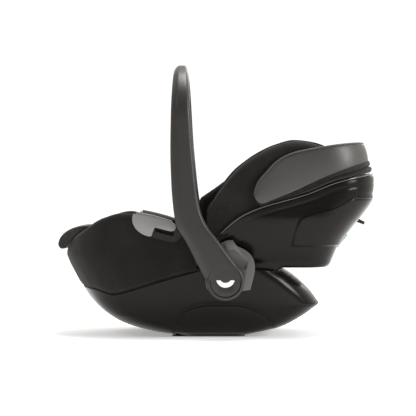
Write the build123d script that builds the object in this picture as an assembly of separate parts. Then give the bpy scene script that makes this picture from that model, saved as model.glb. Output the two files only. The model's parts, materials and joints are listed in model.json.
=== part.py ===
"""Infant car seat: a rocking base, a reclining back shell, a carry handle and a folding canopy.

Row frame: origin on the floor under the middle of the seat, +X towards the head end, +Y to the
occupant's left, +Z up. Lengths are in millimetres. The near side is -Y ("right"), the far side
is +Y ("left").
"""
from build123d import *
import os
from math import atan2, cos, hypot, radians, sin

# ---- driving dimensions -------------------------------------------------------------------
HUB = (15.5, 125.0)             # X, Z of the axis that handle and back shell turn on
HUB_R = 40.0                    # outer radius of the handle's round ends
PIN_R = 8.0                     # pivot pin
RUN = 0.06                      # radial running clearance on a pin
WALL = 4.0                      # moulded shell thickness
FABRIC = 8.0                    # padded fabric over the seat wall
LINING = 22.0                   # fabric, wall and inner padding together
BASE_HALF = 180.0               # half width of the base at its rim
BACK_HALF = 188.0               # half width of the back shell at its rim
ARM_IN, ARM_OUT = 200.0, 222.0  # inner and outer faces of the handle arms
HEAD_X = 341.0                  # head end of the back shell
CANOPY = (95.6, 304.6)          # X, Z of the canopy's pivot axis
CANOPY_R = 240.0                # reach of the canopy band from its pivot
CANOPY_TILT = 14.5              # lean of the folded canopy band
BACK_SLOPE = 27.5               # slope of the back cushion from the floor
BACK_FOOT = (60.0, 165.0)       # X, Z where the back cushion's straight part starts
FLOOR_GAP = 2.0                 # the hull stands this far off the floor, on its runner pads

# ---- outlines in side view, X and Z -------------------------------------------------------
NOSE = (-331.0, 175.0)
KEEL_FRONT = [NOSE, (-312, 135), (-280, 80), (-225, 34), (-150, 8.5), (-100, FLOOR_GAP)]
KEEL_REAR = [(60, FLOOR_GAP), (138, 19), (184, 42), (223, 70)]
TRANSOM = [(223, 70), (198, 101), (170, 127), (138, 147)]
SEAM = [(-20, 150), (-60, 141), (-120, 123), (-190, 101), (-224, 93), (-262, 102), (-340, 112)]
COVER_TOP = [NOSE, (-318, 203), (-288, 228), (-242, 257), (-202, 267), (-178, 265)]
COVER_END = [(-88, 243), (-62, 215), (-50, 190), (-44, 150)]
RIM = [(15, 232), (32, 247), (58, 264), (94, 279), (184, 305), (254, 332), (305, 344), (338, 351)]
SHELL_BACK = [(339, 344), (337, 322), (327, 293), (306, 263), (280, 232), (260, 204)]
SHELL_CORNER = (238, 150)
SHELL_BELLY = [(136, 150.5), (158, 142)]
WING_TOP = [(-23, 270), (11, 325), (46, 366), (82, 392), (120, 410), (161, 420), (204, 415),
            (250, 400), (300, 372), (329, 350)]
VISOR_TOP = [(76.5, 303), (79, 320), (87, 336), (99, 350), (124, 376), (140, 386), (164, 395),
             (232, 408), (288, 415), (321, 418)]
VISOR_LOW = [(331, 379), (274, 359), (227, 340), (166, 313), (143, 303.5), (110, 290.5)]
VISOR_HEEL = [(96, 285.5), (86, 288), (80, 294)]


# ---- small helpers --------------------------------------------------------------------------
def moved(points, distance):
    """The points, each moved to the left of the way the list runs."""
    out = []
    for i, (x, z) in enumerate(points):
        (ax, az), (bx, bz) = points[max(i - 1, 0)], points[min(i + 1, len(points) - 1)]
        run = hypot(bx - ax, bz - az)
        out.append((x - (bz - az) / run * distance, z + (bx - ax) / run * distance))
    return out


def curve(points):
    return Spline(*points) if len(points) > 2 else Line(*points)


def closed(*runs):
    """A face bounded by runs of points: a run of three or more is a smooth curve."""
    edges = []
    for run, following in zip(runs, runs[1:] + runs[:1]):
        if len(run) > 1:
            edges.append(curve(run))
        if hypot(run[-1][0] - following[0][0], run[-1][1] - following[0][1]) > 1e-6:
            edges.append(Line(run[-1], following[0]))
    return make_face(edges)


def from_side(face, y0=-400.0, y1=400.0):
    """An X-Z outline made solid between two Y."""
    return extrude(Plane.XZ.offset(-y1) * face, amount=y1 - y0)


def from_front(face, x0=-500.0, x1=500.0):
    """A Y-Z outline made solid between two X."""
    return extrude(Plane.YZ.offset(x0) * face, amount=x1 - x0)


def from_top(face, z0=-100.0, z1=700.0):
    """An X-Y outline made solid between two Z."""
    return extrude(Plane.XY.offset(z0) * face, amount=z1 - z0)


def box(x, y, z):
    """A box from its three pairs of limits."""
    size = [b - a for a, b in (x, y, z)]
    middle = [(a + b) / 2 for a, b in (x, y, z)]
    return Pos(*middle) * Box(*size)


def rod(x, z, radius, y0, y1):
    """A cylinder along Y."""
    return Pos(x, (y0 + y1) / 2, z) * Rot(90, 0, 0) * Cylinder(radius, abs(y1 - y0))


def mirrored(solid):
    return mirror(solid, about=Plane.XZ)


def both(solid):
    return Compound(children=[*solid.solids(), *mirrored(solid).solids()])


def softened(solid, edges, radius):
    """The solid with its edges rounded, at a smaller radius where the full one won't go."""
    for share in (1.0, 0.6, 0.3):
        try:
            rounded = fillet(edges, radius * share)
            if rounded.is_valid:
                return rounded
        except Exception:
            continue
    return solid


def along_back(s, t):
    """X, Z of the point s along the back cushion and t above it."""
    a = radians(BACK_SLOPE)
    return (BACK_FOOT[0] + s * cos(a) - t * sin(a), BACK_FOOT[1] + s * sin(a) + t * cos(a))


def back_block(s, t, y):
    """A block that lies along the back cushion."""
    corners = [along_back(s[0], t[0]), along_back(s[1], t[0]),
               along_back(s[1], t[1]), along_back(s[0], t[1])]
    return from_side(make_face(Polyline(*corners, close=True)), *y)


# ---- the base -------------------------------------------------------------------------------
def base_section(inset):
    """Hull section in Y and Z: a rounded bilge under nearly upright sides."""
    side = moved([(112, -1), (146, 38), (166, 95), (176, 160), (BASE_HALF, 300)], inset)
    left = [(-y, z) for y, z in reversed(side)]
    return closed(side, left)


def base_plan(inset):
    """Hull in plan: an elliptical nose and a stern with rounded corners."""
    half, reach = BASE_HALF + 0.01 - inset, -NOSE[0] - 190 - inset
    stern = 224 - inset
    run = [(110, -half), (185, -half + 24), (stern, -84)]
    middle = closed([(-190, half), (-190, -half)], run, [(x, -y) for x, y in reversed(run)])
    return middle + Pos(-190, 0) * Ellipse(reach, half)


def hull_space(inset, top=400.0):
    """Everything inside the hull at this depth under its skin, open at the top."""
    front, rear = moved(KEEL_FRONT, inset), moved(KEEL_REAR, inset)
    transom = moved(TRANSOM, inset)
    start = (transom[0][0] - inset * 0.6, transom[0][1] + inset * 0.3)
    side = closed([(front[0][0], top), front[0]], front, rear[:-1] + [start],
                  [start] + transom[1:], [(transom[-1][0], top)])
    return from_side(side) & from_front(base_section(inset)) & from_top(base_plan(inset))


def hull_within(side_face, inset=0.0):
    """The part of the hull's space that a side outline covers."""
    return from_side(side_face) & hull_space(inset)


def hull_face():
    """Side outline of all that lies under the cover's seam and the rear rim."""
    return closed(SEAM, [SEAM[-1], (-345, 112), (-345, -10), (240, -10), (240, 147), (138, 147),
                         SEAM[0]])


def cover_face(inset):
    """The leg cover's side outline over the seam; inset lowers its top and pulls in its end."""
    top = moved(list(reversed(COVER_TOP)), inset)[::-1] if inset else COVER_TOP
    end = moved(list(reversed(COVER_END)), inset)[::-1] if inset else COVER_END
    whole = closed([(-345, top[0][1]), top[0]], top, end, [(end[-1][0], 80), (-345, 80)])
    return whole - hull_face()


def cover_wall():
    """The moulded seat wall that the leg cover is drawn over."""
    return hull_within(cover_face(FABRIC), FABRIC) - hull_space(FABRIC + WALL)


def side_recess(inset):
    """Outline of the scooped panel on the hull's flank."""
    i = inset
    return closed([(-96 + i, 6 + i), (-92 + i, 30), (-78 + i, 60 - i), (-48, 76 - i), (0, 79 - i)],
                  [(0, 79 - i), (50, 78 - i), (86 - i, 62 - i), (120 - i, 30), (128 - 2 * i, 12 + i)],
                  [(60, 6 + i)])


def panel_skin(depth, inset):
    """A skin of the hull's flanks inside the panel outline, this deep."""
    body = hull_within(hull_face()) - hull_space(depth)
    return (body & from_side(side_recess(inset), -300, -90)) + (
        body & from_side(side_recess(inset), 90, 300))


def make_base():
    hull = hull_within(hull_face()) - hull_space(WALL)
    ledge = hull_face() - Pos(0, -6) * hull_face()
    hull += hull_within(ledge & Pos(-244, 0) * Rectangle(400, 600)) - hull_space(FABRIC + WALL)
    hull += cover_wall()
    hull -= panel_skin(3.0, 0.0)
    for side in (-1, 1):
        hull -= rod(*HUB, PIN_R, side * 140, side * 200)
    return hull


def make_panels():
    panels = panel_skin(3.0, 1.0) - (hull_within(hull_face()) - hull_space(1.0))
    right = panels & box((-200, 200), (-300, 0), (-10, 200))
    return right, mirrored(right)


def make_runners():
    """Two rubber runners under the flat of the hull."""
    runner = from_top(Pos(-20, 84) * RectangleRounded(158, 26, 12), 0, FLOOR_GAP)
    return both(runner)


def make_leg_cover():
    return hull_within(cover_face(0)) - hull_space(LINING) - cover_wall()


SEAT_TOP = [(-322, 196), (-270, 172), (-200, 146), (-120, 126), (-52, 119)]


def make_seat_pad():
    under = [(x, z - 24) for x, z in reversed(SEAT_TOP)]
    face = closed(SEAT_TOP, under)
    pad = from_side(face) & hull_space(LINING + 0.5)
    return pad - box((CROTCH_X - 2.5, CROTCH_X + 2.5), (-21, 21), (80, 150))


def make_seat_foam():
    """Moulded foam between the cushion and the hull floor."""
    top = [(x, z - 24.5) for x, z in SEAT_TOP]
    face = closed(top, [(-52, 20), (-330, 20)])
    return from_side(face) & hull_space(LINING + 1)


def make_bolster():
    """The padded roll over the foot end."""
    face = closed([(-258, 237), (-288, 237.5), (-316, 231.5), (-335, 219), (-344.5, 204), (-345.5, 194),
                   (-342, 186), (-336, 184)],
                  [(-333, 188), (-326, 197.5), (-318.5, 204.8), (-300, 217.5), (-275, 222)],
                  [(-262, 223)])
    roll = from_side(face, -88, 88) - hull_within(cover_face(0))
    return max(roll.solids(), key=lambda s: s.volume)


# ---- belt guides on the leg cover -------------------------------------------------------------
def guide_cap():
    """Outline of the bright cap: a rounded plate with a bar that reaches back over the slot."""
    return closed([(-178, 266.5), (-180, 250), (-174, 236), (-162, 225), (-146, 218.5)],
                  [(-140, 219), (-137, 228), (-133, 237.5)], [(-100, 229), (-92, 230.5)],
                  [(-88, 237), (-90, 243), (-97, 248.5)], [(-120, 256), (-178, 266.5)])


def make_belt_guide():
    """Right-hand lap belt guide's cap, on the leg cover's shoulder."""
    cap = from_side(guide_cap(), -187.5, -BASE_HALF - 0.3)
    tread = closed([(-172, 262), (-150, 258), (-120, 251), (-97, 244)],
                   [(-97, 250.5), (-120, 258), (-150, 265.5), (-172, 270)])
    return cap + (from_side(tread, -184, -150) - from_side(cover_face(0), -BASE_HALF, 0))


def make_guide_frame():
    """Dark frame under the cap, with the slot that the lap belt runs through."""
    frame = closed([(-138, 236), (-144, 228), (-140, 219), (-128, 213.5)],
                   [(-98, 206), (-86, 208)], [(-79, 215), (-77, 226), (-80, 236), (-88, 243)],
                   [(-138, 250)])
    slot = make_face(Polyline((-131, 236.3), (-92, 226.6), (-94, 218.6), (-133, 228.3), close=True))
    body = from_side(frame - slot, -185.3, -BASE_HALF - 0.3)
    return body - from_side(guide_cap(), -200, -170)


# ---- hub brackets, pins and recline sectors ---------------------------------------------------
BRACKET_IN, BRACKET_OUT = 182.0, 198.0


def make_bracket():
    """Right-hand bracket that carries the pivot pin outside the hull."""
    ear = closed([(-26, 118), (-24, 150), (-8, 186), (12, 207), (31, 210.5)],
                 [(40, 198), (55, 191), (68, 181), (77, 160), (74, 131), (68, 106.5)],
                 [(50, 104), (30, 92), (10, 90), (-10, 96), (-26, 118)])
    body = from_side(ear, -BRACKET_OUT, -BRACKET_IN)
    body += rod(*HUB, 24, -BRACKET_IN, -160) - hull_space(0)
    pocket = closed([(2, 172), (20, 192), (30, 194)], [(48, 178), (62, 166)], [(60, 150), (20, 152)])
    body -= from_side(pocket, -BRACKET_OUT - 1, -BRACKET_OUT + 4)
    hook = closed([(14, 207), (31, 210.5)], [(40, 198), (26, 190), (14, 196)])
    body += from_side(hook, -199.4, -BRACKET_OUT)
    body -= rod(*HUB, PIN_R, -210, -150)
    return body


def make_pin():
    """Right-hand pivot pin with a head inside the back shell."""
    head = NEST_HALF - WALL - 0.4
    return rod(*HUB, PIN_R, -207.0, -head) + rod(*HUB, PIN_R + 4, -head, -head + 4)


def make_sector():
    """Toothed recline sector on the hull's inner face, right-hand side."""
    inner, outer = 50.5, 60.0
    arc = closed([(HUB[0] + inner * cos(radians(a)), HUB[1] + inner * sin(radians(a)))
                  for a in (-70, -52, -34)],
                 [(HUB[0] + outer * cos(radians(a)), HUB[1] + outer * sin(radians(a)))
                  for a in (-34, -52, -70)])
    body = from_side(arc, -168.0, -NEST_HALF - 1)
    for a in (-64, -56, -48, -40):
        tooth = (HUB[0] + inner * cos(radians(a)), HUB[1] + inner * sin(radians(a)))
        body -= rod(*tooth, 2.4, -170, -150)
    return body & hull_space(WALL)


# ---- the back shell -----------------------------------------------------------------------------
NEST_R = 45.0                   # the shell's heel turns inside the base at this radius
NEST_HALF = 153.0               # half width of the shell where it nests in the base


def heel(radius):
    """The round heel about the pivot: from the front of the shell to its belly."""
    points = [(HUB[0] + radius * cos(radians(a)), HUB[1] + radius * sin(radians(a)))
              for a in (165, 200, 235, 270, 298)]
    return points


def back_face(inset, lift=0.0):
    """Side outline of the back shell; lift raises its top, for cavities."""
    rim = [(x, z + lift) for x, z in reversed(RIM)]
    back = SHELL_BACK[::-1]
    back = moved(back, inset) if inset else back
    corner = (SHELL_CORNER[0] - inset, SHELL_CORNER[1] + inset)
    belly = [(x, z + inset) for x, z in SHELL_BELLY]
    front = [(-28 + inset, 150), (-12 + inset, 200)]
    top_end = (rim[0][0] - inset, rim[0][1])
    rim = [top_end] + rim[1:]
    if lift:
        return closed(heel(NEST_R - inset), belly, [corner], back, [top_end],
                      [(-12 + inset, top_end[1])], front[::-1])
    return closed(heel(NEST_R - inset), belly, [corner], back, rim, [(15, 232), *front[::-1]])


def back_section(inset):
    """Section of the back shell: narrow where it nests in the base, wide at its rim."""
    side = [(NEST_HALF - inset, 20), (NEST_HALF - inset, 156)]
    flare = [(NEST_HALF - inset, 156), (163 - inset, 178), (175 - inset, 205), (183 - inset, 230),
             (BACK_HALF - inset, 262)]
    top = [(BACK_HALF - inset, 262), (BACK_HALF - inset, 460)]
    left = [[(-y, z) for y, z in reversed(run)] for run in (top, flare, side)]
    return closed(side, flare, top, *left)


def head_plan(inset, half=BACK_HALF, end=HEAD_X, corner=105.0):
    """Plan of the head end: straight sides and rounded corners."""
    half, end, corner = half - inset, end - inset, max(corner - inset, 20)
    face = Pos((end - 200) / 2, 0) * RectangleRounded(end + 200, 2 * half, corner)
    return face & Pos((end - 60) / 2, 0) * Rectangle(end + 60, 2 * half + 10)


def back_body(face, inset):
    return from_side(face) & from_front(back_section(inset)) & from_top(head_plan(inset))


def make_back_shell():
    shell = back_body(back_face(0), 0) - back_body(back_face(WALL, 80), WALL)
    shell -= box((-60, 26), (WALL - NEST_HALF, NEST_HALF - WALL), (104, 300))
    for side in (-1, 1):
        shell -= rod(*HUB, PIN_R + RUN, side * 140, side * 180)
    return shell


def panel_face(inset):
    i = inset
    return closed([(153 + i, 196 + i), (156 + i, 212), (168 + i, 254 - i)],
                  [(171 + i, 257 - i), (234, 275 - i), (300, 305 - i)],
                  [(312, 309 - i), (380, 309 - i)], [(380, 196 + i)])


def make_back_panel():
    """Raised rear cover around the lower back, standing 3 mm off the shell."""
    grown = 3.0
    outer_back = moved(SHELL_BACK[::-1], -grown)
    face = closed([(140, SHELL_CORNER[1]), (SHELL_CORNER[0] + grown, SHELL_CORNER[1] - grown)],
                  outer_back, [(outer_back[-1][0], 352), (140, 352)])
    outer = (from_side(face) & from_front(back_section(-grown)) & from_top(head_plan(-grown)))
    body = (outer & from_side(panel_face(0))) - back_body(back_face(0, 60), 0)
    body -= from_side(make_face(Polyline((100, 290), (400, 405), (400, 500), (100, 500), close=True)))
    return max(body.solids(), key=lambda s: s.volume)


def make_rim_trim():
    """Bright-edged trim that caps the back shell's rim."""
    low = [(x, z + 0.2) for x, z in RIM]
    high = [(x - 0.5, z + 3.6) for x, z in reversed(RIM)]
    band = from_side(closed(low, high))
    walls = from_top(head_plan(-1.2)) - from_top(head_plan(WALL + 0.5))
    return max((band & walls).solids(), key=lambda s: s.volume)


WING_OUT, WING_IN = 8.5, 42.0


def wing_face():
    front = [WING_TOP[0], (-23, 246), (-18, 221), (-7, 207)]
    low_front = [(-7, 207), (20, 205), (60, 196), (96, 172)]
    floor = [(96, 172), (225, 172)]
    back = [(x, z) for x, z in moved(SHELL_BACK[::-1], WALL + 2.5) if z > 200]
    return closed(front, low_front, floor, [(225, 172)], back, [(331, 345)], WING_TOP[::-1])


def make_wings():
    plan = head_plan(WING_OUT, end=HEAD_X - 22, corner=125)
    body = from_side(wing_face()) & from_front(back_section(WING_OUT)) & from_top(plan)
    body -= from_top(head_plan(WING_IN, corner=110))
    for side in (-1, 1):
        body -= rod(*CANOPY, 17, side * 177, side * 200)
        body -= box((CANOPY[0] - 9, CANOPY[0] + 9), sorted((side * 177, side * 200)), (255, CANOPY[1]))
    return body


def make_side_bolsters():
    """Inner padding inside the two wings, which reaches forward of them."""
    lobe = closed([(-25, 190), (-43, 240), (-47, 282), (-40, 301)], [(13, 338)],
                  [(48, 353), (84, 348), (98, 322), (96, 262)], [(66, 212), (30, 185), (0, 178)])
    return both(from_side(lobe, -145.4, -136))


LUMBAR = [(-44, 126), (-20, 130), (10, 139), (34, 151), along_back(0, 0)]


def make_back_pad():
    low = [along_back(272, -20), along_back(150, -26), along_back(60, -26), (56, 131), (20, 112),
           (-12, 106), (-40, 112)]
    side = closed(LUMBAR, [along_back(272, 0)], low)
    return from_side(side, -140, 140) & from_top(head_plan(WING_IN + 1.5, corner=110))


def make_back_foam():
    """Moulded foam behind the back cushion."""
    top = [along_back(244, -27.5), along_back(150, -27), along_back(60, -27)]
    low = [(112, 148), (136, 160), (224, 164), (248, 208), (268, 234)]
    side = closed(top, [(105, 150)], low)
    return from_side(side, -132, 132) & from_top(head_plan(WING_IN + 1.5, corner=110))


# ---- belt guide, release lever and rails on the back shell ------------------------------------
def off_back(s, t):
    """X, Z of a point s up the rear face of the back shell from its lower corner, t off it."""
    low, high = SHELL_BACK[5], SHELL_BACK[3]
    a = atan2(high[1] - low[1], high[0] - low[0])
    return (low[0] + s * cos(a) + t * sin(a), low[1] + s * sin(a) - t * cos(a))


LEVER_AT = (67.0, 7.5)          # the release lever's pin, up the rear face and off it
LEVER_PIN_R = 2.5


def off_back_block(s, t, y):
    corners = [off_back(s[0], t[0]), off_back(s[1], t[0]), off_back(s[1], t[1]), off_back(s[0], t[1])]
    return from_side(make_face(Polyline(*corners, close=True)), *y)


def make_shoulder_guide():
    """Coloured hook for the shoulder belt: a plate that stands off the shell, joined at its top."""
    plate = off_back_block((-9, 27), (7.6, 11.6), (-38, 38))
    web = off_back_block((21, 27), (3.4, 7.6), (-38, 38))
    lip = off_back_block((-9, -6), (6.0, 7.6), (-38, 38))
    return plate + web + lip


def make_lever_mount():
    """Two cheeks on the rear cover that hold the release lever's pin."""
    cheek = off_back_block((60, 74), (3.3, 11.0), (17.5, 22))
    return both(cheek - rod(*off_back(*LEVER_AT), LEVER_PIN_R, 10, 30))


def make_lever():
    barrel = rod(*off_back(*LEVER_AT), 4.6, -17, 17)
    a, b = off_back(65.5, 9), off_back(70, 27)
    run = (b[0] - a[0], b[1] - a[1])
    length = hypot(*run)
    n = (-run[1] / length * 4, run[0] / length * 4)
    paddle = make_face(Polyline((a[0] + n[0], a[1] + n[1]), (b[0] + n[0] * 0.8, b[1] + n[1] * 0.8),
                                (b[0] - n[0] * 0.8, b[1] - n[1] * 0.8), (a[0] - n[0], a[1] - n[1]),
                                close=True))
    lever = barrel + from_side(paddle, -17, 17)
    return lever - rod(*off_back(*LEVER_AT), LEVER_PIN_R + RUN, -30, 30)


def make_lever_pin():
    return rod(*off_back(*LEVER_AT), LEVER_PIN_R, -22, 22)


# ---- headrest and harness -----------------------------------------------------------------------
HEADREST = (70.0, 188.0)        # its start and end along the back cushion


def make_headrest_shell():
    s0, s1 = HEADREST
    return back_block((s0, s1), (3.2, 7.0), (-128, 128))


def make_headrest_pad():
    s0, s1 = HEADREST
    cushion = back_block((s0 - 2, s1 + 2), (7.3, 25.0), (-103, 103))
    for side in (-1, 1):
        outline = [along_back(s, t) for s, t in
                   ((s0 - 2, 7.3), (s1 + 2, 7.3), (s1 + 2, 62), (s1 - 18, 92), (s0 + 40, 98),
                    (s0 + 8, 78), (s0 - 2, 48))]
        cushion += from_side(make_face(Polyline(*outline, close=True)),
                             *sorted((side * 102, side * 133)))
    return cushion


def make_headrest_handle():
    """Squeeze grip at the top of the headrest."""
    s1 = HEADREST[1]
    return back_block((s1 + 2.6, s1 + 10.5), (7.3, 14.0), (-24, 24))


def make_shoulder_pads():
    pad = back_block((-8, HEADREST[0] - 5), (3.4, 15.0), (30, 74))
    return both(pad)


BUCKLE = (-72.0, 122.5)         # X, Z of the buckle's foot
CROTCH_X = -115.0               # where the crotch strap comes through the cushion


def make_straps():
    """Shoulder webbing from the buckle's tongues up to the headrest."""
    lower, upper = moved(LUMBAR, 1.0), moved(LUMBAR, 2.8)
    side = closed(lower, [along_back(84, 1.0), along_back(84, 2.8)], upper[::-1])
    plan = closed([(-38, 3), (-38, 20)], [(60, 71), (150, 71)], [(150, 33), (62, 33)])
    return both(from_side(side, 0, 80) & from_top(plan))


def make_lap_straps():
    """Lap webbing from the tongues, over the hips and down beside the cushion."""
    over = [(26.5, 130.0), (80, 131.5), (130, 131.2)]
    down = [(130, 131.2), (140.5, 128.5), (143.8, 120), (144, 96)]
    strap = closed(over, down, moved(down[::-1], -1.6), moved(over[::-1], -1.6))
    return both(from_front(strap, -50, -30))


def make_buckle():
    body = Pos(BUCKLE[0], 0, BUCKLE[1] + 9) * Box(44, 58, 16)
    body = softened(body, body.edges().filter_by(Axis.Z), 7)
    well = Pos(BUCKLE[0] - 4, 0, BUCKLE[1] + 13.5) * Box(20, 34, 8)
    body -= well
    return body


def make_buckle_button():
    return Pos(BUCKLE[0] - 4, 0, BUCKLE[1] + 15.2) * Box(19.4, 33.4, 6.4)


def make_tongues():
    blade = box((BUCKLE[0] + 22.05, BUCKLE[0] + 28), (4, 24), (BUCKLE[1] + 6, BUCKLE[1] + 9))
    frame = box((BUCKLE[0] + 28, BUCKLE[0] + 33), (2, 26), (BUCKLE[1] + 6, BUCKLE[1] + 11))
    return both(blade + frame)


def make_crotch_strap():
    """Webbing up through the cushion and over to the buckle."""
    end = BUCKLE[0] - 22.2
    rise = [(CROTCH_X, 104), (CROTCH_X, 123)]
    bend = [(CROTCH_X, 123), (CROTCH_X + 2.5, 128.5), (CROTCH_X + 9, 131.6), (end, 131.6)]
    return from_side(closed(rise, bend, moved(bend[::-1], 1.8), moved(rise[::-1], 1.8)), -19, 19)


def make_adjuster():
    """Harness adjuster with its push tab, at the foot end of the cushion."""
    return Pos(-236, 0, 166.5) * Rot(0, 20.5, 0) * Box(34, 30, 9)


# ---- handle -------------------------------------------------------------------------------------
ARM_FRONT = [(-90, 579), (-95, 556), (-99, 472), (-100, 400), (-98, 330), (-94, 280), (-88, 244),
             (-66, 205), (-38, 150), (HUB[0] - HUB_R, HUB[1] + 2)]
ARM_REAR = [(HUB[0] + HUB_R, HUB[1] + 2), (46, 150), (30, 172), (2, 209), (-22, 240), (-36, 272),
            (-43, 310), (-50, 375), (-55, 431), (-59, 500), (-62, 552), (-66, 580)]
TOP_Z, BAR = 584.0, 20.0


def handle_front():
    """The handle seen from the front: a tall arch with rounded shoulders."""
    outer = Pos(0, TOP_Z / 2 - 100) * RectangleRounded(2 * ARM_OUT, TOP_Z + 200, 118)
    inner = Pos(0, (TOP_Z - BAR) / 2 - 150) * RectangleRounded(2 * ARM_IN, TOP_Z - BAR + 300, 97)
    return (outer - inner) & Pos(0, 350) * Rectangle(500, 640)


def make_handle():
    arms = closed(ARM_FRONT, ARM_REAR, [(-72, TOP_Z), (-84, TOP_Z)])
    disc = rod(*HUB, HUB_R, -400, 400)
    body = (from_side(arms) + disc) & from_front(handle_front())
    edges = [e for e in body.edges() if e.length > 60]
    body = softened(body, edges, 5)
    body -= box((-89, -66), (-62, 62), (TOP_Z - BAR - 2, TOP_Z - BAR + 3.5))
    for side in (-1, 1):
        body -= rod(*HUB, POCKET_R, side * POCKET_Y, side * 240)
        body -= rod(*HUB, PIN_R + RUN, side * 190, side * 215)
    return body


POCKET_R, POCKET_Y = 32.5, 208.0


def make_button():
    """Right-hand handle release button, pressed inwards."""
    cap = rod(*HUB, 32.0, -221.0, -213.5)
    cap = softened(cap, cap.edges().group_by(Axis.Y)[0], 1.5)
    return cap - make_marker()


def make_marker():
    """Plain white crescent let into the button's face."""
    middle = (HUB[0], HUB[1] + 7)
    crescent = rod(*middle, 19.5, -221.4, -220.0) - rod(middle[0], middle[1] + 3.5, 13.0, -225, -215)
    return crescent & box((-40, 80), (-225, -215), (80, HUB[1] + 6))


def make_button_spring():
    """Coned spring washer behind the button."""
    profile = make_face(Polyline((11, 208.1), (12.2, 208.1), (16.2, 213.3), (15.0, 213.3), close=True))
    cone = revolve(Plane.XY * profile, Axis.Y)
    return mirrored(Pos(HUB[0], 0, HUB[1]) * cone)


def make_grip():
    """Soft inlay under the middle of the cross bar."""
    inlay = box((-89, -66), (-62, 62), (TOP_Z - BAR - 0.8, TOP_Z - BAR + 3.5))
    return softened(inlay, inlay.faces().sort_by(Axis.Z)[0].edges(), 1.2)


# ---- canopy -------------------------------------------------------------------------------------
def canopy_plane():
    lean = radians(CANOPY_TILT)
    return Plane(origin=(CANOPY[0], 0, CANOPY[1]), x_dir=(cos(lean), 0, sin(lean)),
                 z_dir=(-sin(lean), 0, cos(lean)))


def canopy_walls(inside, outside, reach=CANOPY_R):
    """A U-shaped wall about the pivot axis, between two half widths."""
    def plan(half, end):
        corner = 100 - (190 - half)
        face = Pos((end - 100) / 2, 0) * RectangleRounded(end + 100, 2 * half, corner)
        return face & Pos((end - 30) / 2, 0) * Rectangle(end + 30, 2 * half + 10)
    thick = outside - inside
    shape = plan(outside, reach) - plan(inside, reach - thick)
    return extrude(canopy_plane() * shape, amount=220, both=True)


def make_visor():
    face = closed(VISOR_TOP, VISOR_LOW, [VISOR_LOW[-1], *VISOR_HEEL, VISOR_TOP[0]])
    body = from_side(face) & canopy_walls(184.5, 190.5)
    for side in (-1, 1):
        body -= rod(*CANOPY, 5.0 + RUN, side * 150, side * 200)
    return body


FOLD_LOW = [(112, 288.2), (184, 309.3), (254, 336.3), (310, 349.4), (346, 356.2)]
BOW_LINE = [(112, 289.2), (184, 315), (254, 342.5), (312, 362), (346, 369)]
FOLD_HIGH = [(122, 293.5), (166, 311.8), (227, 338.8), (274, 357.8), (331, 377.5), (346, 384)]


def between(low, high):
    return from_side(closed(low, high[::-1]))


def make_folds():
    """The gathered canopy cloth under and over the middle bow."""
    bow_low = [(x, z - 1.6) for x, z in BOW_LINE]
    bow_high = [(x, z + 1.6) for x, z in BOW_LINE]
    walls = canopy_walls(183.0, 191.0, CANOPY_R + 4)
    lower = between(FOLD_LOW[1:], bow_low[1:]) & walls
    upper = between(bow_high[1:], FOLD_HIGH[1:]) & walls
    return lower, upper


def make_bow():
    """Springy bow in the middle of the canopy cloth, with eyes on the pivot pins."""
    walls = canopy_walls(182.0, 184.2, CANOPY_R - 4)
    low = [(98, 297.5), (112, 294), (150, 301), *[(x, z - 1.2) for x, z in BOW_LINE[1:]]]
    high = [(98, 301), (112, 296.4), (150, 303.6), *[(x, z + 1.2) for x, z in BOW_LINE[1:]]]
    bow = between(low, high) & walls
    for side in (-1, 1):
        bow += rod(*CANOPY, 10, side * 182, side * 184.2)
        bow -= rod(*CANOPY, 5.0 + RUN, side * 180, side * 186)
    return bow


def make_canopy_mount():
    """Right-hand post on the rim that carries the canopy's pivot pin."""
    post = box((CANOPY[0] - 8, CANOPY[0] + 8), (-181.6, -177.6), (268, CANOPY[1]))
    body = post + rod(*CANOPY, 16, -181.6, -177.6)
    return body - rod(*CANOPY, 5, -190, -170)


def make_canopy_pin():
    return rod(*CANOPY, 5, -190.3, -177.6)


# ---- build --------------------------------------------------------------------------------------
def parts():
    panel_right, panel_left = make_panels()
    fold_lower, fold_upper = make_folds()
    named = {
        "base_shell": make_base(),
        "side_panel_right": panel_right,
        "side_panel_left": panel_left,
        "runner_pads": make_runners(),
        "leg_cover": make_leg_cover(),
        "seat_pad": make_seat_pad(),
        "seat_foam": make_seat_foam(),
        "foot_bolster": make_bolster(),
        "back_shell": make_back_shell(),
        "rear_cover": make_back_panel(),
        "rim_trim": make_rim_trim(),
        "wing_cover": make_wings(),
        "side_bolsters": make_side_bolsters(),
        "back_pad": make_back_pad(),
        "back_foam": make_back_foam(),
        "shoulder_belt_guide": make_shoulder_guide(),
        "lever_mount": make_lever_mount(),
        "release_lever": make_lever(),
        "lever_pin": make_lever_pin(),
        "headrest_shell": make_headrest_shell(),
        "headrest_pad": make_headrest_pad(),
        "headrest_handle": make_headrest_handle(),
        "shoulder_pads": make_shoulder_pads(),
        "shoulder_straps": make_straps(),
        "buckle": make_buckle(),
        "buckle_button": make_buckle_button(),
        "buckle_tongues": make_tongues(),
        "crotch_strap": make_crotch_strap(),
        "lap_straps": make_lap_straps(),
        "harness_adjuster": make_adjuster(),
        "handle": make_handle(),
        "handle_grip": make_grip(),
        "canopy_visor": make_visor(),
        "canopy_bow": make_bow(),
        "canopy_fold_lower": fold_lower,
        "canopy_fold_upper": fold_upper,
    }
    for name, make in (("belt_guide", make_belt_guide), ("guide_frame", make_guide_frame),
                       ("hub_bracket", make_bracket),
                       ("pivot_pin", make_pin), ("recline_sector", make_sector),
                       ("handle_button", make_button), ("button_marker", make_marker),
                       ("button_spring", make_button_spring), ("canopy_mount", make_canopy_mount),
                       ("canopy_pin", make_canopy_pin)):
        right = make()
        named[name + "_right"] = right
        named[name + "_left"] = mirrored(right)
    return named


os.makedirs("parts", exist_ok=True)
for node, shape in parts().items():
    export_step(shape, f"parts/{node}.step")
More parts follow.
